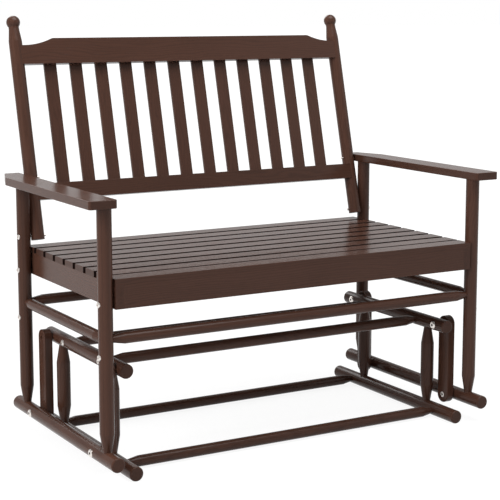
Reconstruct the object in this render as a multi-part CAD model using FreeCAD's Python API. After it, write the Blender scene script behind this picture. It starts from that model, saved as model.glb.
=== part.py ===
import FreeCAD, Part
import math
import os
from FreeCAD import Vector

# A two-seat glider bench: a seat frame that hangs on four links from a low base.
# Sizes are in millimetres. X runs along the bench, Y to the back and Z up from the floor.
# Depths are laid out from midway between the front and rear legs, and moved once at the end
# so that the origin lies under the middle of the whole bench.

# Turned stock
ROD_R = 16.6
ROD_NECK_R = 10.0
ROD_TAPER = 40.0
ROD_TENON = 16.0
ROD_END_ROUND = 3.5
THIN_R = 13.0
THIN_NECK_R = 8.0
THIN_TAPER = 28.0
THIN_TENON = 8.0

# Clearances
GLUE_GAP = 0.05
SNUG_GAP = 0.2
PIVOT_GAP = 0.05
LINK_SIDE_GAP = 1.5

# Seat frame
LEG_SPAN_X = 1000.0
LEG_SPAN_Y = 476.8
SEAT_RUNNER_LENGTH = 592.0
STRETCHER_Z = 320.0
ARM_BOTTOM_Z = 611.0
ARM_TENON = 11.0

# Links
LINK_LENGTH = 185.0
LINK_WIDTH = 40.0
LINK_THICKNESS = 21.0
LINK_EDGE_ROUND = 2.0
PIVOT_SPAN_Y = 366.0

# Base
BASE_RUNNER_LENGTH = 534.0
BASE_RAIL_LENGTH = 444.0
BASE_RAIL_Z = 238.0
POST_SPAN_Y = 283.0
UPPER_CROSSBAR_SPAN_Y = 210.0
LOWER_CROSSBAR_SPAN_Y = 364.0
FOOT_FLAT = 0.6

# Seat boards
SEAT_TOP_Z = 455.0
SEAT_FRONT_Y = -256.0
SLAT_COUNT = 9
SLAT_WIDTH = 48.2
SLAT_GAP = 11.2
FRONT_SLAT_GAP = 5.8
SLAT_THICKNESS = 14.0
SLAT_EDGE_ROUND = 0.5
SEAT_BOARD_HEIGHT = 53.0
SEAT_BOARD_THICKNESS = 20.0
BEARER_HEIGHT = 40.0
BEARER_THICKNESS = 20.0

# Arms
ARM_WIDTH = 66.4
ARM_THICKNESS = 19.0
ARM_FRONT_Y = -275.0
ARM_REAR_Y = 304.0
ARM_CORNER_R = 7.0
ARM_SLANT_LENGTH = 82.0
ARM_SLANT_WIDTH = 28.5
ARM_EDGE_ROUND = 1.5

# Back: heights are measured up the raked stile from its foot
RAKE_DEG = 14.36
STILE_FOOT_Y = 229.7
STILE_FOOT_Z = 471.5
STILE_LENGTH = 558.0
BALL_R = 17.0
FINIAL_NECK_R = 12.8
FINIAL_NECK_DOWN = 33.6
FINIAL_CONE_DOWN = 65.0
RAIL_FRONT_OFFSET = 16.0
RAIL_THICKNESS = 19.0
RAIL_END_INSET = 5.5
LOWER_RAIL_UP = 95.6
LOWER_RAIL_HEIGHT = 39.8
CREST_UP = 433.3
CREST_END_HEIGHT = 47.6
CREST_HEIGHT = 64.3
OGEE_START_X = 450.0
OGEE_TURN_X = 379.0
OGEE_END_X = 371.0
BACK_SLAT_COUNT = 12
BACK_SLAT_PITCH = 69.1
BACK_SLAT_WIDTH = 32.5
BACK_SLAT_THICKNESS = 9.0
BACK_SLAT_END_LAP = 36.0
BACK_SLAT_EDGE_ROUND = 1.5

# Furniture bolts
BOLT_R = 3.0
BOLT_FIT = 0.1
HEAD_R = 6.8
HEAD_HEIGHT = 4.0
HEAD_BEVEL = 2.0
HEAD_ROOM = 0.2
SOCKET_R = 2.9
SOCKET_DEPTH = 2.2
TIP_BEVEL = 0.8
TIP_REACH = 5.5
BOARD_BOLT_Z = 399.0
LOW_LEG_BOLT_Z = 282.0
STILE_BOLT_Z = 481.0
BOARD_BOLT_BITE = 15.0
LOW_LEG_BOLT_LENGTH = 26.0
CROSSBAR_BOLT_BITE = 30.0
ARM_BOLT_BITE = 30.0

# Link bolts, the hinge pins
PIN_R = 4.0
PIN_HEAD_R = 9.2
PIN_HEAD_HEIGHT = 5.2
PIN_SOCKET_R = 3.6
PIN_END_RECESS = 4.0
NUT_R = 7.0
NUT_HEIGHT = 2.2
NUT_ROOM = 0.3
NUT_SOCKET_R = 3.1
NUT_SOCKET_DEPTH = 6.0

# Places that follow from the sizes above
LEG_X = LEG_SPAN_X / 2
LEG_Y = LEG_SPAN_Y / 2
LEG_INNER_X = LEG_X - ROD_R
LINK_OUTER_X = LEG_INNER_X - LINK_SIDE_GAP
LINK_INNER_X = LINK_OUTER_X - LINK_THICKNESS
BASE_X = LINK_INNER_X - LINK_SIDE_GAP - ROD_R
BASE_RUNNER_Z = ROD_R - FOOT_FLAT
SEAT_RUNNER_Z = BASE_RAIL_Z - LINK_LENGTH
PIVOT_Y = PIVOT_SPAN_Y / 2
POST_Y = POST_SPAN_Y / 2
SEAT_HALF_X = LEG_INNER_X - SNUG_GAP
SEAT_DEPTH = SLAT_COUNT * SLAT_WIDTH + FRONT_SLAT_GAP + (SLAT_COUNT - 2) * SLAT_GAP
SEAT_REAR_Y = SEAT_FRONT_Y + SEAT_DEPTH
BOARD_TOP_Z = SEAT_TOP_Z - SLAT_THICKNESS
BOARD_BOTTOM_Z = BOARD_TOP_Z - SEAT_BOARD_HEIGHT
BOARD_INNER_X = SEAT_HALF_X - SEAT_BOARD_THICKNESS
STILE_X = LEG_INNER_X - SNUG_GAP - ROD_R
RAIL_HALF_X = STILE_X - RAIL_END_INSET
RAKE = math.radians(RAKE_DEG)
UP_RAKE = Vector(0, math.sin(RAKE), math.cos(RAKE))
BALL_CENTRE_Y = STILE_FOOT_Y + (STILE_LENGTH - BALL_R) * math.sin(RAKE)
BENCH_FRONT_Y = -SEAT_RUNNER_LENGTH / 2
BENCH_REAR_Y = BALL_CENTRE_Y + BALL_R
CENTRE_SHIFT = Vector(0, -(BENCH_FRONT_Y + BENCH_REAR_Y) / 2, 0)

ALONG_X = Vector(1, 0, 0)
ALONG_Y = Vector(0, 1, 0)
ALONG_Z = Vector(0, 0, 1)
SIDES = {"left": -1, "right": 1}
ENDS = {"front": -1, "rear": 1}


# Shared forms

def along(shape, start, direction):
    """Set a shape that was built up Z from the origin onto a start point and direction."""
    placed = shape.copy()
    placed.Placement = FreeCAD.Placement(start, FreeCAD.Rotation(ALONG_Z, direction))
    return placed


def turned(points):
    """Revolve an outline of (radius, height) points about Z."""
    corners = [Vector(radius, 0, height) for radius, height in points]
    outline = Part.makePolygon(corners + corners[:1])
    return Part.Face(outline).revolve(Vector(), ALONG_Z, 360)


def tapered_rod(span, radius, neck_r, taper, tenon):
    """A rod between two seats: each end tapers to a neck and carries on as a round tenon."""
    half = [(0, -tenon), (neck_r, -tenon), (neck_r, 0), (radius, taper)]
    other_half = [(r, span - height) for r, height in reversed(half)]
    return turned(half + other_half)


def plain_rod(length, radius):
    """A straight rod along Z with rounded ends, centred on the origin."""
    rod = Part.makeCylinder(radius, length, Vector(0, 0, -length / 2), ALONG_Z)
    rims = [edge for edge in rod.Edges if isinstance(edge.Curve, Part.Circle)]
    return rod.makeFillet(ROD_END_ROUND, rims)


def bore(start, direction, radius, depth):
    return Part.makeCylinder(radius, depth, start, direction)


def tenon_bore(crown, inward, neck_r, tenon):
    """The blind hole for a tenon. It opens outside the crown of the rod that it is cut into."""
    mouth = crown - inward * ROD_R
    return bore(mouth, inward, neck_r + GLUE_GAP, ROD_R + tenon)


def board(low, high):
    size = high - low
    return Part.makeBox(size.x, size.y, size.z, low)


def rounded(shape, radius, wanted):
    """Round the edges whose middle point and direction pass the test."""
    chosen = []
    for edge in shape.Edges:
        middle = edge.valueAt((edge.FirstParameter + edge.LastParameter) / 2)
        run = (edge.Vertexes[-1].Point - edge.Vertexes[0].Point).normalize()
        if wanted(middle, run):
            chosen.append(edge)
    return shape.makeFillet(radius, chosen)


def seat_depth(offset, head_r):
    """How deep a flat for a bolt head lies below a rod's crown, at an offset from its middle."""
    reach = abs(offset) + head_r + HEAD_ROOM
    return ROD_R - math.sqrt(ROD_R ** 2 - reach ** 2)


def hexagon_socket(radius, depth, low_z):
    corners = []
    for turn in range(6):
        angle = math.radians(60 * turn)
        corners.append(Vector(radius * math.cos(angle), radius * math.sin(angle), low_z))
    return Part.Face(Part.makePolygon(corners + corners[:1])).extrude(Vector(0, 0, depth))


def bolt_head(radius, height, socket_r):
    """A low bevelled head below the origin, with a hexagon socket in its face."""
    outline = [(0, 0), (radius, 0), (radius, HEAD_BEVEL - height)]
    outline += [(radius - HEAD_BEVEL, -height), (0, -height)]
    return turned(outline).cut(hexagon_socket(socket_r, SOCKET_DEPTH, -height))


def bolt_shank(length):
    """A plain shank with a bevelled tip."""
    outline = [(0, 0), (BOLT_R, 0), (BOLT_R, length - TIP_BEVEL)]
    outline += [(BOLT_R - TIP_BEVEL, length), (0, length)]
    return turned(outline)


def bolt(seat, direction, length):
    """A furniture bolt whose head sits on the seat point and whose shank runs along the direction."""
    whole = bolt_head(HEAD_R, HEAD_HEIGHT, SOCKET_R).fuse(bolt_shank(length)).removeSplitter()
    return along(whole, seat, direction)


def bolt_cut(seat, direction, length):
    """The flat for a furniture bolt's head and the hole for its shank."""
    flat = bore(seat, -direction, HEAD_R + HEAD_ROOM, ROD_R)
    return flat.fuse(bore(seat, direction, BOLT_R + BOLT_FIT, length))


def pin_cut(seat, direction, length):
    """The flat for a link bolt's head and the hole for its shank."""
    flat = bore(seat, -direction, PIN_HEAD_R + HEAD_ROOM, ROD_R)
    return flat.fuse(bore(seat, direction, PIN_R + PIVOT_GAP, length))


# Fasteners: each function gives the bolts and the matching cutters of one kind

def outer_seat(side, head_r, offset=0.0):
    """Distance from the middle plane to a bolt seat on the outside of a leg."""
    return side * (LEG_X + ROD_R - seat_depth(offset, head_r))


def leg_bolt_plan(side, end):
    """Seat point, direction and length of each bolt through one leg."""
    inward = ALONG_X * -side
    seat_x = outer_seat(side, HEAD_R)
    plan = []
    board_length = abs(seat_x) - SEAT_HALF_X + BOARD_BOLT_BITE
    plan.append((Vector(seat_x, end * LEG_Y, BOARD_BOLT_Z), inward, board_length))
    plan.append((Vector(seat_x, end * LEG_Y, LOW_LEG_BOLT_Z), inward, LOW_LEG_BOLT_LENGTH))
    return plan


def stile_y(z):
    """Depth of the stile's middle line at a height."""
    return STILE_FOOT_Y + (z - STILE_FOOT_Z) * math.tan(RAKE)


def stile_bolt_plan(side):
    """The bolt that clamps a stile to its leg; its tip shows inside the stile."""
    y = (LEG_Y + stile_y(STILE_BOLT_Z)) / 2
    seat_x = outer_seat(side, HEAD_R, y - LEG_Y)
    seat = Vector(seat_x, y, STILE_BOLT_Z)
    return seat, ALONG_X * -side, abs(seat_x) - STILE_X + ROD_R + TIP_REACH


def arm_bolt_plan(side):
    """The headless bolt from the arm's inner edge through a stile; its tip shows inside the stile."""
    z = ARM_BOTTOM_Z + ARM_THICKNESS / 2
    buried_x = LEG_INNER_X + ARM_BOLT_BITE
    start = Vector(side * buried_x, stile_y(z), z)
    return start, ALONG_X * -side, buried_x - STILE_X + ROD_R + TIP_REACH


def crossbar_bolt_plan(side, end):
    """The bolt through a base rail into the end of an upper crossbar."""
    depth = seat_depth(0, HEAD_R)
    seat = Vector(side * (BASE_X + ROD_R - depth), end * UPPER_CROSSBAR_SPAN_Y / 2, BASE_RAIL_Z)
    tip = 2 * ROD_R - depth - THIN_TENON
    return seat, ALONG_X * -side, tip + CROSSBAR_BOLT_BITE


def upper_pin_plan(side, end):
    """The hinge pin through a base rail into the top of a link."""
    seat_x = BASE_X - ROD_R + seat_depth(0, PIN_HEAD_R)
    seat = Vector(side * seat_x, end * PIVOT_Y, BASE_RAIL_Z)
    return seat, ALONG_X * side, LINK_OUTER_X - PIN_END_RECESS - seat_x


def lower_pin_plan(side, end):
    """The hinge pin through a seat runner into the foot of a link."""
    seat_x = outer_seat(side, PIN_HEAD_R)
    seat = Vector(seat_x, end * PIVOT_Y, SEAT_RUNNER_Z)
    return seat, ALONG_X * -side, abs(seat_x) - LINK_INNER_X - NUT_HEIGHT


def upright_pin(length):
    head = bolt_head(PIN_HEAD_R, PIN_HEAD_HEIGHT, PIN_SOCKET_R)
    return head.fuse(Part.makeCylinder(PIN_R, length)).removeSplitter()


def upper_pin(side, end):
    seat, direction, length = upper_pin_plan(side, end)
    return along(upright_pin(length), seat, direction)


def lower_pin(side, end):
    """The lower hinge pin with its flush cap nut, which holds the link on and has a deep socket."""
    seat, direction, length = lower_pin_plan(side, end)
    nut = Part.makeCylinder(NUT_R, NUT_HEIGHT, Vector(0, 0, length))
    whole = upright_pin(length).fuse(nut).removeSplitter()
    socket = hexagon_socket(NUT_SOCKET_R, NUT_SOCKET_DEPTH, length + NUT_HEIGHT - NUT_SOCKET_DEPTH)
    return along(whole.cut(socket), seat, direction)


# Base

def base_runner(side):
    rod = along(plain_rod(BASE_RUNNER_LENGTH, ROD_R), Vector(side * BASE_X, 0, BASE_RUNNER_Z), ALONG_Y)
    half = BASE_RUNNER_LENGTH / 2
    under_floor = board(Vector(side * BASE_X - ROD_R, -half, -ROD_R), Vector(side * BASE_X + ROD_R, half, 0))
    cutters = [under_floor]
    for end in ENDS.values():
        crown = Vector(side * BASE_X, end * POST_Y, BASE_RUNNER_Z + ROD_R)
        cutters.append(tenon_bore(crown, -ALONG_Z, ROD_NECK_R, ROD_TENON))
        inner = Vector(side * (BASE_X - ROD_R), end * LOWER_CROSSBAR_SPAN_Y / 2, BASE_RUNNER_Z)
        cutters.append(tenon_bore(inner, ALONG_X * side, THIN_NECK_R, THIN_TENON))
    return rod.cut(cutters)


def base_rail(side):
    rod = along(plain_rod(BASE_RAIL_LENGTH, ROD_R), Vector(side * BASE_X, 0, BASE_RAIL_Z), ALONG_Y)
    cutters = []
    for end in ENDS.values():
        crown = Vector(side * BASE_X, end * POST_Y, BASE_RAIL_Z - ROD_R)
        cutters.append(tenon_bore(crown, ALONG_Z, ROD_NECK_R, ROD_TENON))
        inner = Vector(side * (BASE_X - ROD_R), end * UPPER_CROSSBAR_SPAN_Y / 2, BASE_RAIL_Z)
        cutters.append(tenon_bore(inner, ALONG_X * side, THIN_NECK_R, THIN_TENON))
        seat, direction, length = crossbar_bolt_plan(side, end)
        cutters.append(bolt_cut(seat, direction, length))
        seat, direction, length = upper_pin_plan(side, end)
        cutters.append(pin_cut(seat, direction, length))
    return rod.cut(cutters)


def base_post(side, end):
    foot = Vector(side * BASE_X, end * POST_Y, BASE_RUNNER_Z + ROD_R)
    span = BASE_RAIL_Z - ROD_R - foot.z
    return along(tapered_rod(span, ROD_R, ROD_NECK_R, ROD_TAPER, ROD_TENON), foot, ALONG_Z)


def crossbar(y, z):
    start = Vector(-BASE_X + ROD_R, y, z)
    return along(tapered_rod(-2 * start.x, THIN_R, THIN_NECK_R, THIN_TAPER, THIN_TENON), start, ALONG_X)


def upper_crossbar(end):
    bar = crossbar(end * UPPER_CROSSBAR_SPAN_Y / 2, BASE_RAIL_Z)
    cutters = []
    for side in SIDES.values():
        seat, direction, length = crossbar_bolt_plan(side, end)
        cutters.append(bore(seat, direction, BOLT_R + BOLT_FIT, length))
    return bar.cut(cutters)


def lower_crossbar(end):
    return crossbar(end * LOWER_CROSSBAR_SPAN_Y / 2, BASE_RUNNER_Z)


def base_pieces():
    pieces = {}
    for side_name, side in SIDES.items():
        pieces[f"base_runner_{side_name}"] = base_runner(side)
        pieces[f"base_rail_{side_name}"] = base_rail(side)
    for end_name, end in ENDS.items():
        pieces[f"upper_crossbar_{end_name}"] = upper_crossbar(end)
        pieces[f"lower_crossbar_{end_name}"] = lower_crossbar(end)
    bolts = []
    for end_name, end in ENDS.items():
        for side_name, side in SIDES.items():
            pieces[f"base_post_{end_name}_{side_name}"] = base_post(side, end)
            pieces[f"upper_link_bolt_{end_name}_{side_name}"] = upper_pin(side, end)
            seat, direction, length = crossbar_bolt_plan(side, end)
            bolts.append(bolt(seat, direction, length))
    pieces["crossbar_bolts"] = Part.makeCompound(bolts)
    return pieces


# Links

def link(side, end):
    """A flat bar with round ends, a plain bore at the top and a bore with a nut recess at the foot."""
    half = LINK_WIDTH / 2
    low_left = Vector(0, -half, 0)
    high_left = Vector(0, -half, LINK_LENGTH)
    high_right = Vector(0, half, LINK_LENGTH)
    low_right = Vector(0, half, 0)
    outline = Part.Wire([
        Part.makeLine(low_left, high_left),
        Part.Arc(high_left, Vector(0, 0, LINK_LENGTH + half), high_right).toShape(),
        Part.makeLine(high_right, low_right),
        Part.Arc(low_right, Vector(0, 0, -half), low_left).toShape(),
    ])
    bar = Part.Face(outline).extrude(ALONG_X * LINK_THICKNESS)
    bar = rounded(bar, LINK_EDGE_ROUND, lambda middle, run: abs(run.x) < 0.5)
    corner_x = LINK_INNER_X if side > 0 else -LINK_OUTER_X
    bar.translate(Vector(corner_x, end * PIVOT_Y, SEAT_RUNNER_Z))
    pin_room = PIN_R + PIVOT_GAP
    foot = Vector(side * LINK_OUTER_X, end * PIVOT_Y, SEAT_RUNNER_Z)
    head = Vector(side * LINK_OUTER_X, end * PIVOT_Y, BASE_RAIL_Z)
    recess = Vector(side * LINK_INNER_X, end * PIVOT_Y, SEAT_RUNNER_Z)
    inward = ALONG_X * -side
    return bar.cut([
        bore(head, inward, pin_room, LINK_THICKNESS),
        bore(foot, inward, pin_room, LINK_THICKNESS),
        bore(recess, -inward, NUT_R + NUT_ROOM, NUT_HEIGHT + NUT_ROOM),
    ])


def link_pieces():
    pieces = {}
    for end_name, end in ENDS.items():
        for side_name, side in SIDES.items():
            pieces[f"link_{end_name}_{side_name}"] = link(side, end)
    return pieces


# Seat frame

def seat_runner(side):
    centre = Vector(side * LEG_X, 0, SEAT_RUNNER_Z)
    rod = along(plain_rod(SEAT_RUNNER_LENGTH, ROD_R), centre, ALONG_Y)
    cutters = []
    for end in ENDS.values():
        crown = Vector(side * LEG_X, end * LEG_Y, SEAT_RUNNER_Z + ROD_R)
        cutters.append(tenon_bore(crown, -ALONG_Z, ROD_NECK_R, ROD_TENON))
        seat, direction, length = lower_pin_plan(side, end)
        cutters.append(pin_cut(seat, direction, length))
    return rod.cut(cutters)


def leg(side, end):
    """Turned leg: a tapered foot with a tenon, and a tenon at the top for the arm."""
    foot = Vector(side * LEG_X, end * LEG_Y, SEAT_RUNNER_Z + ROD_R)
    height = ARM_BOTTOM_Z - foot.z
    outline = [(0, -ROD_TENON), (ROD_NECK_R, -ROD_TENON), (ROD_NECK_R, 0), (ROD_R, ROD_TAPER)]
    outline += [(ROD_R, height), (ROD_NECK_R, height)]
    outline += [(ROD_NECK_R, height + ARM_TENON), (0, height + ARM_TENON)]
    rod = along(turned(outline), foot, ALONG_Z)
    axis = Vector(side * LEG_X, end * LEG_Y, STRETCHER_Z)
    cutters = [
        tenon_bore(axis - ALONG_X * side * ROD_R, ALONG_X * side, THIN_NECK_R, THIN_TENON),
        tenon_bore(axis - ALONG_Y * end * ROD_R, ALONG_Y * end, THIN_NECK_R, THIN_TENON),
    ]
    for seat, direction, length in leg_bolt_plan(side, end):
        cutters.append(bolt_cut(seat, direction, length))
    if end == ENDS["rear"]:
        seat, direction, length = stile_bolt_plan(side)
        cutters.append(bolt_cut(seat, direction, length))
    return rod.cut(cutters)


def cross_stretcher(end):
    start = Vector(-LEG_INNER_X, end * LEG_Y, STRETCHER_Z)
    return along(tapered_rod(-2 * start.x, THIN_R, THIN_NECK_R, THIN_TAPER, THIN_TENON), start, ALONG_X)


def side_stretcher(side):
    start = Vector(side * LEG_X, -LEG_Y + ROD_R, STRETCHER_Z)
    return along(tapered_rod(-2 * start.y, THIN_R, THIN_NECK_R, THIN_TAPER, THIN_TENON), start, ALONG_Y)


def arm(side):
    """Flat arm: rounded front corners, and a long slant on the outer rear corner."""
    outer = LEG_INNER_X + ARM_WIDTH
    corners = [
        Vector(LEG_INNER_X, ARM_FRONT_Y, 0),
        Vector(LEG_INNER_X, ARM_REAR_Y, 0),
        Vector(outer - ARM_SLANT_WIDTH, ARM_REAR_Y, 0),
        Vector(outer, ARM_REAR_Y - ARM_SLANT_LENGTH, 0),
        Vector(outer, ARM_FRONT_Y, 0),
    ]
    plan = Part.Face(Part.makePolygon(corners + corners[:1]))
    slab = plan.extrude(Vector(0, 0, ARM_THICKNESS))
    slab.translate(Vector(0, 0, ARM_BOTTOM_Z))
    slab = rounded(slab, ARM_CORNER_R,
                   lambda middle, run: abs(run.z) > 0.5 and abs(middle.y - ARM_FRONT_Y) < GLUE_GAP)
    slab = rounded(slab, ARM_EDGE_ROUND, lambda middle, run: abs(run.z) < 0.5)
    if side < 0:
        slab = slab.mirror(Vector(), ALONG_X)
    cutters = []
    for end in ENDS.values():
        mouth = Vector(side * LEG_X, end * LEG_Y, ARM_BOTTOM_Z)
        cutters.append(bore(mouth, ALONG_Z, ROD_NECK_R + GLUE_GAP, ARM_TENON))
    start, direction, length = arm_bolt_plan(side)
    cutters.append(bore(start, direction, BOLT_R + BOLT_FIT, length))
    return slab.cut(cutters)


def seat_side_board(side):
    low_x, high_x = sorted((side * BOARD_INNER_X, side * SEAT_HALF_X))
    plank = board(Vector(low_x, SEAT_FRONT_Y, BOARD_BOTTOM_Z), Vector(high_x, SEAT_REAR_Y, BOARD_TOP_Z))
    cutters = []
    for end in ENDS.values():
        seat, direction, length = leg_bolt_plan(side, end)[0]
        cutters.append(bore(seat, direction, BOLT_R + BOLT_FIT, length))
    return plank.cut(cutters)


def apron(end):
    front = SEAT_FRONT_Y if end < 0 else SEAT_REAR_Y - SEAT_BOARD_THICKNESS
    low = Vector(-BOARD_INNER_X, front, BOARD_BOTTOM_Z)
    return board(low, Vector(BOARD_INNER_X, front + SEAT_BOARD_THICKNESS, BOARD_TOP_Z))


def seat_bearer():
    half = BEARER_THICKNESS / 2
    low = Vector(-half, SEAT_FRONT_Y + SEAT_BOARD_THICKNESS, BOARD_TOP_Z - BEARER_HEIGHT)
    return board(low, Vector(half, SEAT_REAR_Y - SEAT_BOARD_THICKNESS, BOARD_TOP_Z))


def seat_slat(place):
    front = SEAT_FRONT_Y + place * (SLAT_WIDTH + SLAT_GAP)
    if place > 0:
        front += FRONT_SLAT_GAP - SLAT_GAP
    plank = board(Vector(-SEAT_HALF_X, front, BOARD_TOP_Z),
                  Vector(SEAT_HALF_X, front + SLAT_WIDTH, SEAT_TOP_Z))
    return rounded(plank, SLAT_EDGE_ROUND, lambda middle, run: middle.z > SEAT_TOP_Z - GLUE_GAP)


# Back: built upright with X across, Y to the rear of the stile's middle line and Z up the stile

def rake_back(shape):
    """Lean an upright back piece about the stiles' feet."""
    foot = Vector(0, STILE_FOOT_Y, STILE_FOOT_Z)
    lean = FreeCAD.Placement(foot, FreeCAD.Rotation(ALONG_X, -RAKE_DEG))
    leant = shape.copy()
    leant.Placement = lean.multiply(shape.Placement)
    return leant


def upright_rail(low, outline):
    """Extrude a rail's front outline back from its front plane."""
    face = Part.Face(outline)
    rail = face.extrude(Vector(0, RAIL_THICKNESS, 0))
    rail.translate(Vector(0, -RAIL_FRONT_OFFSET, low))
    return rail


def ogee(side):
    """The shoulder of the crest: a hollow arc that turns into a round one, level at both ends."""
    rise = CREST_HEIGHT - CREST_END_HEIGHT
    run = OGEE_START_X - OGEE_END_X
    hollow_run = OGEE_START_X - OGEE_TURN_X
    sweep = 2 * math.atan2(rise, run)
    hollow_r = hollow_run / math.sin(sweep)
    round_r = (run - hollow_run) / math.sin(sweep)

    def hollow(angle):
        return Vector(side * (OGEE_START_X - hollow_r * math.sin(angle)), 0,
                      CREST_END_HEIGHT + hollow_r * (1 - math.cos(angle)))

    def shoulder(angle):
        return Vector(side * (OGEE_END_X + round_r * math.sin(angle)), 0,
                      CREST_HEIGHT - round_r * (1 - math.cos(angle)))

    return [
        Part.Arc(hollow(0), hollow(sweep / 2), hollow(sweep)).toShape(),
        Part.Arc(shoulder(sweep), shoulder(sweep / 2), shoulder(0)).toShape(),
    ]


def upright_crest():
    left, right = ogee(-1), ogee(1)
    low_left = Vector(-RAIL_HALF_X, 0, 0)
    low_right = Vector(RAIL_HALF_X, 0, 0)
    end_left = Vector(-RAIL_HALF_X, 0, CREST_END_HEIGHT)
    end_right = Vector(RAIL_HALF_X, 0, CREST_END_HEIGHT)
    start_left = Vector(-OGEE_START_X, 0, CREST_END_HEIGHT)
    start_right = Vector(OGEE_START_X, 0, CREST_END_HEIGHT)
    top_left = Vector(-OGEE_END_X, 0, CREST_HEIGHT)
    top_right = Vector(OGEE_END_X, 0, CREST_HEIGHT)
    edges = [
        Part.makeLine(low_left, low_right),
        Part.makeLine(low_right, end_right),
        Part.makeLine(end_right, start_right),
        right[0],
        right[1],
        Part.makeLine(top_right, top_left),
        left[1],
        left[0],
        Part.makeLine(start_left, end_left),
        Part.makeLine(end_left, low_left),
    ]
    return upright_rail(CREST_UP, Part.Wire(Part.__sortEdges__(edges)))


def upright_lower_rail():
    corners = [
        Vector(-RAIL_HALF_X, 0, 0),
        Vector(RAIL_HALF_X, 0, 0),
        Vector(RAIL_HALF_X, 0, LOWER_RAIL_HEIGHT),
        Vector(-RAIL_HALF_X, 0, LOWER_RAIL_HEIGHT),
    ]
    return upright_rail(LOWER_RAIL_UP, Part.makePolygon(corners + corners[:1]))


def upright_back_slats():
    """The slats lie on the rear faces of both rails and lap onto them at each end."""
    front = RAIL_THICKNESS - RAIL_FRONT_OFFSET
    low_z = LOWER_RAIL_UP + LOWER_RAIL_HEIGHT - BACK_SLAT_END_LAP
    high_z = CREST_UP + BACK_SLAT_END_LAP
    slats = []
    for place in range(BACK_SLAT_COUNT):
        middle = (place - (BACK_SLAT_COUNT - 1) / 2) * BACK_SLAT_PITCH
        low = Vector(middle - BACK_SLAT_WIDTH / 2, front, low_z)
        high = Vector(middle + BACK_SLAT_WIDTH / 2, front + BACK_SLAT_THICKNESS, high_z)
        slats.append(rounded(board(low, high), BACK_SLAT_EDGE_ROUND, lambda middle, run: abs(run.z) > 0.5))
    return Part.makeCompound(slats)


def upright_stile():
    """Turned stile with a neck and a ball on top."""
    ball_z = STILE_LENGTH - BALL_R
    ball_foot_z = ball_z - math.sqrt(BALL_R ** 2 - FINIAL_NECK_R ** 2)
    neck_z = STILE_LENGTH - FINIAL_NECK_DOWN
    cone_z = STILE_LENGTH - FINIAL_CONE_DOWN
    foot = Vector(ROD_R, 0, 0)
    cone = Vector(ROD_R, 0, cone_z)
    neck = Vector(FINIAL_NECK_R, 0, neck_z)
    ball_foot = Vector(FINIAL_NECK_R, 0, ball_foot_z)
    tip = Vector(0, 0, STILE_LENGTH)
    outline = Part.Wire([
        Part.makeLine(Vector(), foot),
        Part.makeLine(foot, cone),
        Part.makeLine(cone, neck),
        Part.makeLine(neck, ball_foot),
        Part.Arc(ball_foot, Vector(BALL_R, 0, ball_z), tip).toShape(),
        Part.makeLine(tip, Vector()),
    ])
    return Part.Face(outline).revolve(Vector(), ALONG_Z, 360)


def back_stile(side):
    """A stile in place, housed for the two rails and drilled for its bolts."""
    upright = upright_stile()
    upright.translate(Vector(side * STILE_X, 0, 0))
    stile = rake_back(upright.cut([upright_crest(), upright_lower_rail()]))
    cutters = []
    for seat, direction, length in (stile_bolt_plan(side), arm_bolt_plan(side)):
        cutters.append(bore(seat, direction, BOLT_R + BOLT_FIT, length))
    return stile.cut(cutters)


def leg_bolts():
    """Every bolt that goes into a leg from outside."""
    bolts = []
    for side in SIDES.values():
        for end in ENDS.values():
            for seat, direction, length in leg_bolt_plan(side, end):
                bolts.append(bolt(seat, direction, length))
        seat, direction, length = stile_bolt_plan(side)
        bolts.append(bolt(seat, direction, length))
    return Part.makeCompound(bolts)


def arm_bolts():
    bolts = []
    for side in SIDES.values():
        start, direction, length = arm_bolt_plan(side)
        bolts.append(along(bolt_shank(length), start, direction))
    return Part.makeCompound(bolts)


def seat_pieces():
    pieces = {}
    for side_name, side in SIDES.items():
        pieces[f"seat_runner_{side_name}"] = seat_runner(side)
        pieces[f"side_stretcher_{side_name}"] = side_stretcher(side)
        pieces[f"arm_{side_name}"] = arm(side)
        pieces[f"seat_side_board_{side_name}"] = seat_side_board(side)
        pieces[f"back_stile_{side_name}"] = back_stile(side)
    for end_name, end in ENDS.items():
        pieces[f"cross_stretcher_{end_name}"] = cross_stretcher(end)
        pieces[f"seat_apron_{end_name}"] = apron(end)
        for side_name, side in SIDES.items():
            pieces[f"leg_{end_name}_{side_name}"] = leg(side, end)
            pieces[f"lower_link_bolt_{end_name}_{side_name}"] = lower_pin(side, end)
    pieces["seat_bearer"] = seat_bearer()
    for place in range(SLAT_COUNT):
        pieces[f"seat_slat_{place + 1}"] = seat_slat(place)
    pieces["crest_rail"] = rake_back(upright_crest())
    pieces["lower_back_rail"] = rake_back(upright_lower_rail())
    pieces["back_slats"] = rake_back(upright_back_slats())
    pieces["leg_bolts"] = leg_bolts()
    pieces["arm_bolts"] = arm_bolts()
    return pieces


def main():
    os.makedirs("parts", exist_ok=True)
    pieces = {**base_pieces(), **link_pieces(), **seat_pieces()}
    for name, shape in pieces.items():
        shape.translate(CENTRE_SHIFT)
        shape.exportStep(f"parts/{name}.step")


main()
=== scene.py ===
"""Glider bench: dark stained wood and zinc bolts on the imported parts, on a pale studio floor."""

import math

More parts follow.
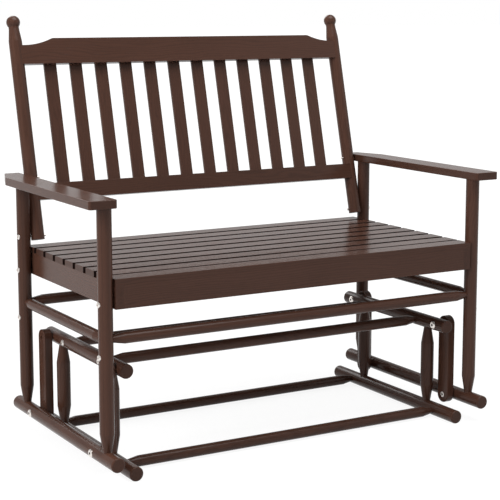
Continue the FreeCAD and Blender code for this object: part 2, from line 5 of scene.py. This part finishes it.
import bpy
from bpy.props import FloatProperty, FloatVectorProperty, PointerProperty
from bpy.types import Operator, Panel, PropertyGroup
from mathutils import Euler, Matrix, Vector


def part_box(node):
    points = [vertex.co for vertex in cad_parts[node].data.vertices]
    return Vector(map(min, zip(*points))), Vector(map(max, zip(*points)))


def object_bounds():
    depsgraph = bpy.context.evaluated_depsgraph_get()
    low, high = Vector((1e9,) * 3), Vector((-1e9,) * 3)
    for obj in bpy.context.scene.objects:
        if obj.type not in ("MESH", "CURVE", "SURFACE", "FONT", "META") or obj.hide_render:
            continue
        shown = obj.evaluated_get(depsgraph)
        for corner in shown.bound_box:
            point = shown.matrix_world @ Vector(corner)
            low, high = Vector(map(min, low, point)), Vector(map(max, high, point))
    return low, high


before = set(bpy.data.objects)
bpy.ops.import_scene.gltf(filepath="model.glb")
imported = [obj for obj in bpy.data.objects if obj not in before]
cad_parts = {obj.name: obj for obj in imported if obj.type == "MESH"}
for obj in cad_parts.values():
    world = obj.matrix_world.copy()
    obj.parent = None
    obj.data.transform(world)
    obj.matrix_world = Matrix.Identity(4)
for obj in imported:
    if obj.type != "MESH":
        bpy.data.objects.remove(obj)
CAD_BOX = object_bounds()

bl_info = {
    "name": "Glider Bench",
    "version": (1, 0, 0),
    "blender": (4, 5, 0),
    "location": "View3D > Sidebar > Glider Bench",
    "description": "Finishes the pieces of a wooden glider bench and stages them",
    "category": "Object",
}

# Directions in which a piece's grain can run
ALONG_BENCH = Vector((1, 0, 0))
FRONT_TO_BACK = Vector((0, 1, 0))
UPRIGHT = Vector((0, 0, 1))

# Socket numbers of a Mix node that mixes colours
MIX_FACTOR, MIX_LOW, MIX_HIGH, MIX_RESULT = 0, 6, 7, 2

WHITE = (1, 1, 1, 1)

# The middle of a noise, and of a piece in its own box
MIDDLE = 0.5

# How far finer marks break up a noise, where nothing else is said
NOISE_BREAKUP = 0.55

# Grain: the wander and the soaked patches in board widths, fibres and pores in fibre widths
WANDER_LENGTH, WANDER_DETAIL = 6, 2.0
SOAK_WIDTH, SOAK_LENGTH, SOAK_DETAIL = 2, 7, 3.0
FIBRE_LENGTH, FIBRE_DETAIL, FIBRE_BREAKUP = 45, 3.0, 0.6
PORE_WIDTH, PORE_LENGTH, PORE_DETAIL = 0.6, 22, 1.0

# Grain: where rings darken, where pores open and where a face counts as end grain
RING_SHARPNESS = 3.0
PORE_START, PORE_FULL = 0.62, 0.72
END_START, END_FULL = 0.8, 0.96

# Grain: how strongly each mark takes the stain
RING_STAIN, FIBRE_STAIN, PORE_STAIN = 0.35, 0.5, 0.5
END_STAIN, END_RING_STAIN = 0.45, 0.3

# Grain: the darkest tone and the spread above it, from patch to patch and from board to board
SOAK_LEAST, SOAK_SPREAD = 0.84, 0.32
BOARD_LEAST, BOARD_SPREAD = 0.95, 0.1

# Grain: what each mark adds to the roughness, and its height under the finish
FIBRE_DULLNESS, SOAK_DULLNESS, END_DULLNESS = 0.14, 0.12, 0.16
FIBRE_HEIGHT, PORE_DEPTH, RING_HEIGHT = 0.5, 0.5, 0.25
GRAIN_BUMP = 0.35

# The share of a rim of painted shade at which it starts to fade
RIM_CORE = 0.4

# Zinc: its spangle, and a larger haze
SPANGLE_DETAIL, SPANGLE_LEAST, SPANGLE_SPREAD = 2.0, 0.9, 0.2
SPANGLE_BUMP, SPANGLE_DEPTH = 0.2, 0.1
HAZE_DETAIL, HAZE_FINENESS, HAZE_DULLNESS = 3.0, 0.2, 0.2

# Sockets of a bolt: how far they reach from its axis and its middle, in shares of its box
SOCKET_RADIUS, SOCKET_END = 0.21, 0.49

# Eased edges of boards: corners join within a part of the width, and large faces stay flat
EASED_SEGMENTS = 3
SHARP_ANGLE = math.radians(40)
WELD_PART = 100
FACE_WEIGHT = 100

# Where each lamp hangs, and how wide it is
KEY_PLACE, KEY_WIDTH = (-3.4, -0.4, 2.2), 2.6
TOP_PLACE, TOP_WIDTH = (0.2, -1.2, 4.6), 3.6
FILL_PLACE, FILL_WIDTH = (3.2, -2.4, 1.8), 2.4
BACK_PLACE, BACK_WIDTH = (0.0, 3.6, 3.2), 2.0

# Width of the camera's sensor, in mm
SENSOR_WIDTH = 36.0


def up_the_back():
    """The lean of the back, read from a stile.

    The stile's box is wider than the lean itself by the stile's thickness.
    """
    low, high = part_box("back_stile_left")
    thick = high.x - low.x
    return Vector((0, high.y - low.y - thick, high.z - low.z - thick / 2)).normalized()


def pieces_named(*starts):
    """The pieces whose names start with any of these words."""
    return [piece for name, piece in sorted(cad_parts.items()) if name.startswith(starts)]


# Node trees

class Socket:
    """An output of a node tree. Arithmetic on it adds Math nodes."""

    def __init__(self, recipe, output):
        self.recipe = recipe
        self.output = output

    def other(self, name):
        """Another output of the same node."""
        return Socket(self.recipe, self.output.node.outputs[name])

    def __add__(self, value):
        return self.recipe.maths("ADD", self, value)

    def __radd__(self, value):
        return self.recipe.maths("ADD", value, self)

    def __sub__(self, value):
        return self.recipe.maths("SUBTRACT", self, value)

    def __rsub__(self, value):
        return self.recipe.maths("SUBTRACT", value, self)

    def __mul__(self, value):
        return self.recipe.maths("MULTIPLY", self, value)

    def __rmul__(self, value):
        return self.recipe.maths("MULTIPLY", value, self)

    def __truediv__(self, value):
        return self.recipe.maths("DIVIDE", self, value)

    def __rtruediv__(self, value):
        return self.recipe.maths("DIVIDE", value, self)

    def __pow__(self, value):
        return self.recipe.maths("POWER", self, value)

    def __rpow__(self, value):
        return self.recipe.maths("POWER", value, self)

    def __abs__(self):
        return self.recipe.maths("ABSOLUTE", self)


class Recipe:
    """The node tree of one finish."""

    def __init__(self, tree):
        self.tree = tree
        tree.nodes.clear()

    def node(self, kind, settings=None, inputs=None, output=0):
        """Add a node: its settings first, then the values or links of its sockets."""
        made = self.tree.nodes.new(kind)
        for name, value in (settings or {}).items():
            setattr(made, name, value)
        for key, value in (inputs or {}).items():
            if isinstance(value, Socket):
                self.tree.links.new(value.output, made.inputs[key])
            else:
                made.inputs[key].default_value = value
        return Socket(self, made.outputs[output]) if made.outputs else None

    def maths(self, operation, *terms):
        return self.node("ShaderNodeMath", {"operation": operation}, dict(enumerate(terms)))

    def dot(self, vector, direction):
        terms = {0: vector, 1: tuple(direction)}
        return self.node("ShaderNodeVectorMath", {"operation": "DOT_PRODUCT"}, terms, "Value")

    def scaled(self, colour, factor):
        terms = {"Vector": colour, "Scale": factor}
        return self.node("ShaderNodeVectorMath", {"operation": "SCALE"}, terms)

    def blend(self, factor, low, high):
        terms = {MIX_FACTOR: factor, MIX_LOW: low, MIX_HIGH: high}
        return self.node("ShaderNodeMix", {"data_type": "RGBA"}, terms, MIX_RESULT)

    def noise(self, place, detail, roughness=NOISE_BREAKUP):
        terms = {"Vector": place, "Scale": 1.0, "Detail": detail, "Roughness": roughness}
        return self.node("ShaderNodeTexNoise", {"noise_dimensions": "3D"}, terms, 0)

    def step(self, value, start, end):
        """0 below start, 1 above end, and smooth between them."""
        terms = {"Value": value, "From Min": start, "From Max": end}
        return self.node("ShaderNodeMapRange", {"interpolation_type": "SMOOTHSTEP"}, terms)


def opaque(colour):
    """The colour with full alpha, as a node's socket takes it."""
    return (*colour, 1.0)


# Finishes

def facing_gaps(r, coords, front_slat, rear_slat, rim):
    """1 on the rims that slats turn to each other.

    These are all but the front of the first slat and the back of the last; the painted shade of the
    gaps goes on them.
    """
    front_low, front_high = (corner.y for corner in front_slat)
    rear_low, rear_high = (corner.y for corner in rear_slat)
    place = r.dot(coords, FRONT_TO_BACK)
    share = r.dot(coords.other("Generated"), FRONT_TO_BACK)
    inward = (MIDDLE - abs(share - MIDDLE)) * (front_high - front_low)
    edge = 1 - r.step(inward, rim * RIM_CORE, rim)
    past_front = r.maths("GREATER_THAN", place, (front_low + front_high) / 2)
    before_rear = r.maths("LESS_THAN", place, (rear_low + rear_high) / 2)
    return edge * past_front * before_rear


def stained_wood(name, grain, wood, slats=None):
    """Dark stained wood as a solid: rings round a distant pith, fibres and pores along the grain.

    Given the boxes of the first and last slat, it paints shade on the rims where slats face each
    other, standing in for the shade in the gaps between them.
    """
    material = bpy.data.materials.new(name)
    material.use_nodes = True
    r = Recipe(material.node_tree)
    side = grain.orthogonal().normalized()
    face = grain.cross(side)

    coords = r.node("ShaderNodeTexCoord", output="Object")
    along = r.dot(coords, grain)
    across = r.dot(coords, side)
    through = r.dot(coords, face)

    def stretched(width, length):
        """A place measured in widths across the grain and lengths along it."""
        terms = {"X": across / width, "Y": through / width, "Z": along / length}
        return r.node("ShaderNodeCombineXYZ", inputs=terms)

    wander_place = stretched(wood.board_width, wood.board_width * WANDER_LENGTH)
    wander = r.noise(wander_place, WANDER_DETAIL) - MIDDLE
    reach_a = across + wood.pith_offset + wander * wood.board_width
    reach_b = through - wood.pith_offset - wander * wood.board_width
    radius = (reach_a * reach_a + reach_b * reach_b) ** 0.5
    turns = radius * (2 * math.pi / wood.ring_spacing)
    wave = r.maths("SINE", turns) * 0.5 + 0.5
    latewood = wave ** RING_SHARPNESS

    fibre_place = stretched(wood.fibre_width, wood.fibre_width * FIBRE_LENGTH)
    fibre = r.noise(fibre_place, FIBRE_DETAIL, FIBRE_BREAKUP)
    pore_place = stretched(wood.fibre_width * PORE_WIDTH, wood.fibre_width * PORE_LENGTH)
    pores = r.step(r.noise(pore_place, PORE_DETAIL), PORE_START, PORE_FULL)
    soak_place = stretched(wood.board_width * SOAK_WIDTH, wood.board_width * SOAK_LENGTH)
    soak = r.noise(soak_place, SOAK_DETAIL)
    board = r.node("ShaderNodeObjectInfo", output="Random")
    end = r.step(abs(r.dot(coords.other("Normal"), grain)), END_START, END_FULL)

    streak = latewood * RING_STAIN + (1 - fibre) * FIBRE_STAIN
    tone = r.blend(streak, opaque(wood.stain), opaque(wood.dark_stain))
    tone = r.blend(pores * PORE_STAIN, tone, opaque(wood.dark_stain))
    soaked_end = end * (END_STAIN + latewood * END_RING_STAIN)
    tone = r.blend(soaked_end, tone, opaque(wood.end_stain))
    shade = (SOAK_LEAST + soak * SOAK_SPREAD) * (BOARD_LEAST + board * BOARD_SPREAD)
    tone = r.scaled(tone, shade)
    roughness = wood.roughness + (fibre - MIDDLE) * FIBRE_DULLNESS
    roughness = roughness + (soak - MIDDLE) * SOAK_DULLNESS + end * END_DULLNESS
    # Painted shade: the rims where slats face each other are darkened for the shade in the gaps
    # between them, and are also made duller
    if slats:
        gap = facing_gaps(r, coords, *slats, wood.gap_rim)
        tone = r.blend(gap, tone, opaque(wood.gap_painted_shade))
        roughness = roughness + gap
    relief = fibre * FIBRE_HEIGHT - pores * PORE_DEPTH + latewood * RING_HEIGHT
    bump = {"Strength": GRAIN_BUMP, "Distance": wood.relief, "Height": relief}
    normal = r.node("ShaderNodeBump", inputs=bump)
    surface = {
        "Base Color": tone,
        "Roughness": roughness,
        "Specular IOR Level": wood.gloss,
        "Normal": normal,
    }
    shader = r.node("ShaderNodeBsdfPrincipled", inputs=surface)
    r.node("ShaderNodeOutputMaterial", inputs={"Surface": shader})
    return material


def in_sockets(r):
    """1 in the sockets of a single bolt along the bench whose head fills its box."""
    place = r.node("ShaderNodeTexCoord", output="Generated")
    axes = ALONG_BENCH, FRONT_TO_BACK, UPRIGHT
    along, across, up = (r.dot(place, axis) - MIDDLE for axis in axes)
    away = (across * across + up * up) ** 0.5
    near_axis = r.maths("LESS_THAN", away, SOCKET_RADIUS)
    return near_axis * r.maths("LESS_THAN", abs(along), SOCKET_END)


def plated_zinc(name, zinc, single_bolt):
    """Bright zinc plate with a faint spangle, with painted shade in the sockets of a single bolt.
    """
    material = bpy.data.materials.new(name)
    material.use_nodes = True
    r = Recipe(material.node_tree)
    coords = r.node("ShaderNodeTexCoord", output="Object")
    spangle = r.noise(r.scaled(coords, 1 / zinc.spangle), SPANGLE_DETAIL)
    haze = r.noise(r.scaled(coords, HAZE_FINENESS / zinc.spangle), HAZE_DETAIL)
    tone = r.scaled(tuple(zinc.colour), SPANGLE_LEAST + spangle * SPANGLE_SPREAD)
    # Painted shade: the sockets of a single bolt are darkened, standing in for the shade that falls
    # inside them
    if single_bolt:
        tone = r.blend(in_sockets(r), tone, opaque(zinc.socket_painted_shade))
    depth = zinc.spangle * SPANGLE_DEPTH
    bump = {"Strength": SPANGLE_BUMP, "Distance": depth, "Height": spangle}
    surface = {
        "Base Color": tone,
        "Metallic": 1.0,
        "Roughness": zinc.roughness + (haze - MIDDLE) * HAZE_DULLNESS,
        "Normal": r.node("ShaderNodeBump", inputs=bump),
    }
    shader = r.node("ShaderNodeBsdfPrincipled", inputs=surface)
    r.node("ShaderNodeOutputMaterial", inputs={"Surface": shader})
    return material


def wood_along(grain_name, grain, wood, slats=None):
    """The stained wood whose grain runs that way, made once."""
    name = f"stained_wood_{grain_name}"
    return bpy.data.materials.get(name) or stained_wood(name, grain, wood, slats)


def dress(pieces, material):
    """Give every face of the pieces this finish."""
    for piece in pieces:
        for slot in piece.material_slots:
            slot.material = material


def ease_edges(pieces, width):
    """Round off the sharp edges of boards, as sanding does."""
    for piece in pieces:
        joined = piece.modifiers.new("Joined faces", "WELD")
        joined.merge_threshold = width / WELD_PART
        eased = piece.modifiers.new("Eased edges", "BEVEL")
        eased.width = width
        eased.segments = EASED_SEGMENTS
        eased.limit_method = "ANGLE"
        eased.angle_limit = SHARP_ANGLE
        shading = piece.modifiers.new("Flat faces", "WEIGHTED_NORMAL")
        shading.weight = FACE_WEIGHT


# Stage

def seen_rays(r):
    """1 for rays from the camera, or by way of metal or glass, and 0 for light on the bench."""
    path = r.node("ShaderNodeLightPath", output="Is Camera Ray")
    straight = r.maths("MAXIMUM", path, path.other("Is Glossy Ray"))
    return r.maths("MAXIMUM", straight, path.other("Is Transmission Ray"))


def lay_floor(stage):
    """A pale floor that takes the shadow of the bench.

    It fades to plain white over the outer half of the fade's distance.
    """
    half = stage.floor_half
    corners = [(-half, -half, 0), (half, -half, 0), (half, half, 0), (-half, half, 0)]
    mesh = bpy.data.meshes.new("floor")
    mesh.from_pydata(corners, [], [(0, 1, 2, 3)])
    floor = bpy.data.objects.new("floor", mesh)
    bpy.context.scene.collection.objects.link(floor)
    material = bpy.data.materials.new("pale_floor")
    material.use_nodes = True
    r = Recipe(material.node_tree)
    paint = r.node("ShaderNodeBsdfDiffuse", inputs={"Color": opaque(stage.floor_colour)})
    light = {"Color": WHITE, "Strength": stage.floor_white}
    glow = r.node("ShaderNodeEmission", inputs=light)
    place = r.node("ShaderNodeTexCoord", output="Object")
    away = r.node("ShaderNodeVectorMath", {"operation": "LENGTH"}, {0: place}, "Value")
    fade = r.step(away, stage.floor_fade / 2, stage.floor_fade)
    share = stage.floor_glow + fade * (1 - stage.floor_glow)
    shader = r.node("ShaderNodeMixShader", inputs={0: seen_rays(r) * share, 1: paint, 2: glow})
    r.node("ShaderNodeOutputMaterial", inputs={"Surface": shader})
    mesh.materials.append(material)


def light_world(scene, stage):
    """Even light from all round, and plain white where the camera sees past the floor."""
    world = bpy.data.worlds.new("studio")
    world.use_nodes = True
    r = Recipe(world.node_tree)
    seen = r.node("ShaderNodeLightPath", output="Is Camera Ray")
    mirrored = seen.other("Is Glossy Ray")
    strength = stage.ambient + seen * (1 - stage.ambient)
    strength = strength + mirrored * (stage.sheen - stage.ambient)
    sky = r.node("ShaderNodeBackground", inputs={"Color": WHITE, "Strength": strength})
    r.node("ShaderNodeOutputWorld", inputs={"Surface": sky})
    scene.world = world


def hang_lamp(name, place, width, power, mirrored=True):
    """A square soft lamp aimed at the middle of the bench.

    One that isn't mirrored leaves no glare on the bolts.
    """
    lamp = bpy.data.lights.new(name, "AREA")
    lamp.size = width
    lamp.energy = power
    hung = bpy.data.objects.new(name, lamp)
    hung.location = place
    low, high = CAD_BOX
    aim = (low + high) / 2 - Vector(place)
    hung.rotation_euler = aim.to_track_quat("-Z", "Y").to_euler()
    hung.visible_glossy = mirrored
    bpy.context.scene.collection.objects.link(hung)


def place_camera(scene, stage):
    """A camera at the photograph's viewing angle."""
    camera = bpy.data.cameras.new("camera")
    camera.sensor_width = SENSOR_WIDTH
    camera.lens = stage.lens
    camera.shift_y = stage.frame_shift
    stand = bpy.data.objects.new("camera", camera)
    stand.location = stage.camera_place
    stand.rotation_euler = Euler((math.pi / 2 - stage.camera_pitch, 0, -stage.camera_heading))
    scene.collection.objects.link(stand)
    scene.camera = stand


# Settings

class WoodFinish(PropertyGroup):
    """Colours and sizes of the stained wood."""

    stain: FloatVectorProperty(
        name="Stain", description="Colour of the stained wood",
        subtype="COLOR", size=3, min=0, max=1, default=(0.0562, 0.0246, 0.0161))
    dark_stain: FloatVectorProperty(
        name="Dark stain", description="Colour of the dark grain lines and pores",
        subtype="COLOR", size=3, min=0, max=1, default=(0.0322, 0.0146, 0.0098))
    end_stain: FloatVectorProperty(
        name="End stain", description="Colour where the end grain has soaked up stain",
        subtype="COLOR", size=3, min=0, max=1, default=(0.0355, 0.0160, 0.0108))
    # Painted shade: a near-black colour on the rims of the gaps between seat slats, standing in for
    # the shade inside the gaps
    gap_painted_shade: FloatVectorProperty(
        name="Painted gap shade", description="Colour of the shade painted in the gaps between slats",
        subtype="COLOR", size=3, min=0, max=1, default=(0.007, 0.0025, 0.0018))
    gap_rim: FloatProperty(
        name="Gap rim", description="Width of the dark rim beside a gap between slats",
        unit="LENGTH", min=0.0001, default=0.0022)
    roughness: FloatProperty(
        name="Roughness", description="Roughness of the satin finish",
        subtype="FACTOR", min=0, max=1, default=0.22)
    gloss: FloatProperty(
        name="Gloss", description="Strength of the satin reflection",
        subtype="FACTOR", min=0, max=1, default=0.15)
    ring_spacing: FloatProperty(
        name="Ring spacing", description="Distance from one growth ring to the next",
        unit="LENGTH", min=0.001, default=0.0055)
    pith_offset: FloatProperty(
        name="Pith offset",
        description="How far the heart of the tree lies from the middle of the bench",
        unit="LENGTH", min=0, default=0.35)
    fibre_width: FloatProperty(
        name="Fibre width", description="Width of a bundle of fibres",
        unit="LENGTH", min=0.0002, default=0.0016)
    board_width: FloatProperty(
        name="Board width", description="Width over which the grain wanders",
        unit="LENGTH", min=0.01, default=0.05)
    relief: FloatProperty(
        name="Relief", description="Depth of the grain under the finish",
        unit="LENGTH", min=0, default=0.0004)
    eased_edge: FloatProperty(
        name="Eased edge", description="Width of the rounded edge of a board",
        unit="LENGTH", min=0.0001, default=0.0004)


class ZincFinish(PropertyGroup):
    """Colour and sizes of the plated bolts."""

    colour: FloatVectorProperty(
        name="Colour", description="Colour of the zinc",
        subtype="COLOR", size=3, min=0, max=1, default=(0.80, 0.75, 0.71))
    # Painted shade: a dark colour put in the bolt sockets for the shade inside them
    socket_painted_shade: FloatVectorProperty(
        name="Socket shade", description="Colour of the shade painted in the sockets",
        subtype="COLOR", size=3, min=0, max=1, default=(0.04, 0.035, 0.03))
    roughness: FloatProperty(
        name="Roughness", description="Roughness of the plate",
        subtype="FACTOR", min=0, max=1, default=0.3)
    spangle: FloatProperty(
        name="Spangle", description="Size of the spangle",
        unit="LENGTH", min=0.0001, default=0.0008)


class StageSetup(PropertyGroup):
    """Floor, lamps and camera."""

    floor_colour: FloatVectorProperty(
        name="Floor colour", description="Colour of the floor",
        subtype="COLOR", size=3, min=0, max=1, default=(0.6, 0.6, 0.6))
    floor_half: FloatProperty(
        name="Floor reach", description="Distance from the bench to the edge of the floor",
        unit="LENGTH", default=60.0)
    floor_glow: FloatProperty(
        name="Floor glow",
        description="Share of plain white in the floor that the camera sees under the bench",
        subtype="FACTOR", min=0, max=1, default=0.8)
    floor_fade: FloatProperty(
        name="Floor fade",
        description="Distance from the bench at which the floor is all plain white",
        unit="LENGTH", min=0.1, default=3.0)
    floor_white: FloatProperty(
        name="Floor white", description="Brightness of that plain white", min=0, default=1.12)
    ambient: FloatProperty(
        name="Ambient", description="Light from all round", min=0, default=0.5)
    sheen: FloatProperty(
        name="Sheen", description="Brightness of the room in the satin finish", min=0, default=0.68)
    key_power: FloatProperty(
        name="Key lamp", description="Power of the large lamp on the left",
        unit="POWER", default=150.0)
    top_power: FloatProperty(
        name="Top lamp", description="Power of the lamp overhead", unit="POWER", default=240.0)
    fill_power: FloatProperty(
        name="Fill lamp", description="Power of the lamp on the right", unit="POWER", default=10.0)
    back_power: FloatProperty(
        name="Back lamp", description="Power of the lamp behind the bench",
        unit="POWER", default=55.0)
    camera_place: FloatVectorProperty(
        name="Camera place", description="Where the camera stands",
        subtype="XYZ", unit="LENGTH", size=3, default=(-1.7430, -3.0553, 1.0340))
    camera_heading: FloatProperty(
        name="Camera heading",
        description="How far the camera turns from straight back towards the right",
        unit="ROTATION", default=math.radians(30.031))
    camera_pitch: FloatProperty(
        name="Camera pitch", description="How far the camera looks down", unit="ROTATION",
        default=math.radians(8.483))
    lens: FloatProperty(
        name="Lens", description="Focal length of the lens", unit="CAMERA", default=102.895)
    frame_shift: FloatProperty(
        name="Frame shift", description="How far the frame is shifted up, in frame widths",
        default=-0.06)


# Operators

class BENCH_OT_finish_seat(Operator):
    """Stain the seat slats and the boards of the seat frame"""

    bl_idname = "bench.finish_seat"
    bl_label = "Finish Seat"

    def execute(self, context):
        wood = context.scene.bench_wood
        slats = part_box("seat_slat_1"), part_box("seat_slat_9")
        dress(pieces_named("seat_slat_"), wood_along("slats", ALONG_BENCH, wood, slats))
        dress(pieces_named("seat_apron_"), wood_along("bench", ALONG_BENCH, wood))
        across_seat = pieces_named("seat_side_board_", "seat_bearer")
        dress(across_seat, wood_along("depth", FRONT_TO_BACK, wood))
        ease_edges(pieces_named("seat_apron_") + across_seat, wood.eased_edge)
        return {"FINISHED"}


class BENCH_OT_finish_back(Operator):
    """Stain the stiles, the two rails and the slats of the back"""

    bl_idname = "bench.finish_back"
    bl_label = "Finish Back"

    def execute(self, context):
        wood = context.scene.bench_wood
        rails = pieces_named("crest_rail", "lower_back_rail")
        dress(rails, wood_along("bench", ALONG_BENCH, wood))
        dress(pieces_named("back_stile_", "back_slats"), wood_along("back", up_the_back(), wood))
        ease_edges(rails, wood.eased_edge)
        return {"FINISHED"}


class BENCH_OT_finish_arms(Operator):
    """Stain the two arms"""

    bl_idname = "bench.finish_arms"
    bl_label = "Finish Arms"

    def execute(self, context):
        wood = context.scene.bench_wood
        dress(pieces_named("arm_left", "arm_right"), wood_along("depth", FRONT_TO_BACK, wood))
        return {"FINISHED"}


class BENCH_OT_finish_legs(Operator):
    """Stain the legs, their runners and their stretchers"""

    bl_idname = "bench.finish_legs"
    bl_label = "Finish Legs"

    def execute(self, context):
        wood = context.scene.bench_wood
        dress(pieces_named("leg_front_", "leg_rear_"), wood_along("upright", UPRIGHT, wood))
        side_bars = pieces_named("seat_runner_", "side_stretcher_")
        dress(side_bars, wood_along("depth", FRONT_TO_BACK, wood))
        dress(pieces_named("cross_stretcher_"), wood_along("bench", ALONG_BENCH, wood))
        return {"FINISHED"}


class BENCH_OT_finish_base(Operator):
    """Stain the runners, posts, rails and crossbars of the base"""

    bl_idname = "bench.finish_base"
    bl_label = "Finish Base"

    def execute(self, context):
        wood = context.scene.bench_wood
        dress(pieces_named("base_post_"), wood_along("upright", UPRIGHT, wood))
        side_bars = pieces_named("base_runner_", "base_rail_")
        dress(side_bars, wood_along("depth", FRONT_TO_BACK, wood))
        crossbars = pieces_named("upper_crossbar_", "lower_crossbar_")
        dress(crossbars, wood_along("bench", ALONG_BENCH, wood))
        return {"FINISHED"}


class BENCH_OT_finish_links(Operator):
    """Stain the four swinging links"""

    bl_idname = "bench.finish_links"
    bl_label = "Finish Links"

    def execute(self, context):
        wood = context.scene.bench_wood
        dress(pieces_named("link_"), wood_along("upright", UPRIGHT, wood))
        return {"FINISHED"}


class BENCH_OT_finish_bolts(Operator):
    """Plate the bolts and link bolts with zinc"""

    bl_idname = "bench.finish_bolts"
    bl_label = "Finish Bolts"

    def execute(self, context):
        zinc = context.scene.bench_zinc
        bolts = pieces_named("leg_bolts", "arm_bolts", "crossbar_bolts")
        dress(bolts, plated_zinc("zinc_bolts", zinc, single_bolt=False))
        pins = pieces_named("upper_link_bolt_", "lower_link_bolt_")
        dress(pins, plated_zinc("zinc_pins", zinc, single_bolt=True))
        return {"FINISHED"}


class BENCH_OT_set_stage(Operator):
    """Lay the pale floor, hang the lamps and place the camera"""

    bl_idname = "bench.set_stage"
    bl_label = "Set Stage"

    def execute(self, context):
        stage = context.scene.bench_stage
        lay_floor(stage)
        light_world(context.scene, stage)
        hang_lamp("key_lamp", KEY_PLACE, KEY_WIDTH, stage.key_power, mirrored=False)
        hang_lamp("top_lamp", TOP_PLACE, TOP_WIDTH, stage.top_power)
        hang_lamp("fill_lamp", FILL_PLACE, FILL_WIDTH, stage.fill_power)
        hang_lamp("back_lamp", BACK_PLACE, BACK_WIDTH, stage.back_power)
        place_camera(context.scene, stage)
        context.scene.view_settings.view_transform = "Standard"
        return {"FINISHED"}


OPERATORS = (
    BENCH_OT_finish_seat,
    BENCH_OT_finish_back,
    BENCH_OT_finish_arms,
    BENCH_OT_finish_legs,
    BENCH_OT_finish_base,
    BENCH_OT_finish_links,
    BENCH_OT_finish_bolts,
    BENCH_OT_set_stage,
)


# Panel and registration

class BENCH_PT_finishes(Panel):
    """Finishes and stage of the glider bench"""

    bl_idname = "BENCH_PT_finishes"
    bl_label = "Glider Bench"
    bl_space_type = "VIEW_3D"
    bl_region_type = "UI"
    bl_category = "Glider Bench"

    def draw(self, context):
        for operator in OPERATORS:
            self.layout.operator(operator.bl_idname)
        scene = context.scene
        for settings in (scene.bench_wood, scene.bench_zinc, scene.bench_stage):
            box = self.layout.box()
            for name in settings.__annotations__:
                box.prop(settings, name)


CLASSES = (WoodFinish, ZincFinish, StageSetup, *OPERATORS, BENCH_PT_finishes)


def register():
    for cls in CLASSES:
        bpy.utils.register_class(cls)
    bpy.types.Scene.bench_wood = PointerProperty(type=WoodFinish)
    bpy.types.Scene.bench_zinc = PointerProperty(type=ZincFinish)
    bpy.types.Scene.bench_stage = PointerProperty(type=StageSetup)


def unregister():
    del bpy.types.Scene.bench_stage
    del bpy.types.Scene.bench_zinc
    del bpy.types.Scene.bench_wood
    for cls in reversed(CLASSES):
        bpy.utils.unregister_class(cls)


def main():
    register()
    bpy.ops.bench.finish_seat()
    bpy.ops.bench.finish_back()
    bpy.ops.bench.finish_arms()
    bpy.ops.bench.finish_legs()
    bpy.ops.bench.finish_base()
    bpy.ops.bench.finish_links()
    bpy.ops.bench.finish_bolts()
    bpy.ops.bench.set_stage()


if __name__ == "__main__":
    main()
